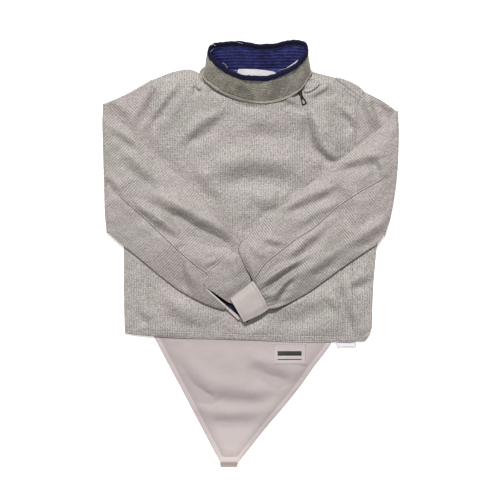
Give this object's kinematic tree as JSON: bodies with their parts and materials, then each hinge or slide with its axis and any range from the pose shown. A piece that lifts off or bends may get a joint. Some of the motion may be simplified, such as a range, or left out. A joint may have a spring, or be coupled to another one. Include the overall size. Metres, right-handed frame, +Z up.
{
  "type": "fencing lame jacket",
  "caption": "Electric sabre fencing jacket laid flat on its back, sleeves folded across the front, stand collar with navy lining, side zip and crotch tongue.",
  "frame": {"origin": "middle of the laid out jacket's box, on the surface it lies on", "axes": "+Z up from the surface, +Y from the hem to the collar, +X towards the wearer's left sleeve"},
  "size_m": [0.5908, 0.8491, 0.0456],
  "materials": {
    "lame_cloth": "woven metallic thread, soft sheen",
    "collar_cloth": "woven metallic thread, greener",
    "white_cloth": "smooth matt",
    "navy_lining": "matt, rows of stitching",
    "navy_binding": "matt",
    "elastic": "ribbed",
    "label": "satin",
    "patch": "satin",
    "zip_metal": "dark metal"
  },
  "bodies": {
    "jacket": {"back": "lame_cloth", "front_main": "lame_cloth", "front_left": "lame_cloth", "side_panel_right": "lame_cloth", "side_panel_left": "lame_cloth", "sleeve_right_top": "lame_cloth", "sleeve_right_under": "lame_cloth", "sleeve_left_top": "lame_cloth", "sleeve_left_under": "lame_cloth", "cuff_right": "white_cloth", "cuff_left": "white_cloth", "collar": "collar_cloth", "collar_lining": "navy_lining", "collar_binding": "navy_binding", "neck_band": "collar_cloth", "neck_facing": "navy_lining", "neck_label": "label", "collar_underlap": "collar_cloth", "tongue": "white_cloth", "tongue_loop": "elastic", "tongue_patch": "patch", "hem_label": "label", "zip_slider": "zip_metal"},
    "pull_tab": {"zip_pull": "zip_metal"}
  },
  "joints": [
    {"name": "pull_swing", "type": "hinge", "parent": "jacket", "child": "pull_tab", "pos_m": [0.099, 0.3235, 0.01243], "axis": [-0.9348, -0.3552, 0], "range_deg": [0, 110]}
  ]
}
